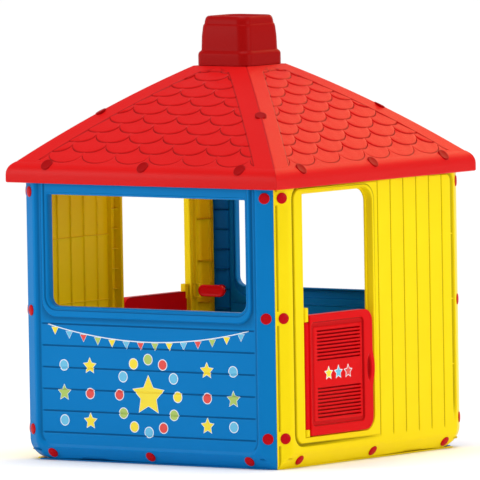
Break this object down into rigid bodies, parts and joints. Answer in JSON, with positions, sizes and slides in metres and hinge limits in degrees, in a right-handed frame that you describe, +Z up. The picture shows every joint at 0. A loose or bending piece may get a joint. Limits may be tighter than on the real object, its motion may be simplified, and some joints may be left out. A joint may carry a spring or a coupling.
{
  "type": "plastic playhouse",
  "caption": "Square plastic playhouse with window walls, door walls with louvred half doors, and a pyramid tiled roof with a chimney.",
  "frame": {"origin": "centre of the house's footprint, on the ground", "axes": "+Z up; the front window wall faces -Y and the right door wall faces +X"},
  "size_m": [1.04, 1.04, 1.357],
  "materials": {
    "blue_plastic": "smooth semi-gloss moulded plastic, blue",
    "yellow_plastic": "smooth semi-gloss moulded plastic, yellow",
    "red_plastic": "fine-grained semi-gloss moulded plastic, red",
    "plug_plastic": "smooth semi-gloss moulded plastic, dark red"
  },
  "bodies": {
    "house": {"wall_front": "blue_plastic", "roof_panel_front": "red_plastic", "screw_plug_front_1": "plug_plastic", "screw_plug_front_2": "plug_plastic", "screw_plug_front_3": "plug_plastic", "screw_plug_front_4": "plug_plastic", "screw_plug_front_5": "plug_plastic", "screw_plug_front_6": "plug_plastic", "screw_plug_front_7": "plug_plastic", "screw_plug_front_8": "plug_plastic", "screw_plug_front_9": "plug_plastic", "wall_right": "yellow_plastic", "roof_panel_right": "red_plastic", "screw_plug_right_1": "plug_plastic", "screw_plug_right_2": "plug_plastic", "screw_plug_right_3": "plug_plastic", "screw_plug_right_4": "plug_plastic", "screw_plug_right_5": "plug_plastic", "screw_plug_right_6": "plug_plastic", "screw_plug_right_7": "plug_plastic", "screw_plug_right_8": "plug_plastic", "screw_plug_right_9": "plug_plastic", "wall_back": "blue_plastic", "roof_panel_back": "red_plastic", "screw_plug_back_1": "plug_plastic", "screw_plug_back_2": "plug_plastic", "screw_plug_back_3": "plug_plastic", "screw_plug_back_4": "plug_plastic", "screw_plug_back_5": "plug_plastic", "screw_plug_back_6": "plug_plastic", "screw_plug_back_7": "plug_plastic", "screw_plug_back_8": "plug_plastic", "screw_plug_back_9": "plug_plastic", "wall_left": "yellow_plastic", "roof_panel_left": "red_plastic", "screw_plug_left_1": "plug_plastic", "screw_plug_left_2": "plug_plastic", "screw_plug_left_3": "plug_plastic", "screw_plug_left_4": "plug_plastic", "screw_plug_left_5": "plug_plastic", "screw_plug_left_6": "plug_plastic", "screw_plug_left_7": "plug_plastic", "screw_plug_left_8": "plug_plastic", "screw_plug_left_9": "plug_plastic", "hinge_upper_right": "yellow_plastic", "hinge_lower_right": "yellow_plastic", "latch_socket_right": "yellow_plastic", "hinge_upper_left": "yellow_plastic", "hinge_lower_left": "yellow_plastic", "latch_socket_left": "yellow_plastic", "chimney": "red_plastic"},
    "door_right": {"door_right": "red_plastic"},
    "latch_right": {"latch_lever_right": "red_plastic"},
    "door_left": {"door_left": "red_plastic"},
    "latch_left": {"latch_lever_left": "red_plastic"}
  },
  "joints": [
    {"name": "door_right_hinge", "type": "hinge", "parent": "house", "child": "door_right", "pos_m": [0.494, -0.35, 0.28], "axis": [0, 0, -1], "range_deg": [0, 95]},
    {"name": "latch_right_hinge", "type": "hinge", "parent": "house", "child": "latch_right", "pos_m": [0.451, -0.378, 0.466], "axis": [0, 0, 1], "range_deg": [-60, 60]},
    {"name": "door_left_hinge", "type": "hinge", "parent": "house", "child": "door_left", "pos_m": [-0.494, 0.35, 0.28], "axis": [0, 0, -1], "range_deg": [0, 95]},
    {"name": "latch_left_hinge", "type": "hinge", "parent": "house", "child": "latch_left", "pos_m": [-0.451, 0.378, 0.466], "axis": [0, 0, 1], "range_deg": [-60, 60]}
  ]
}
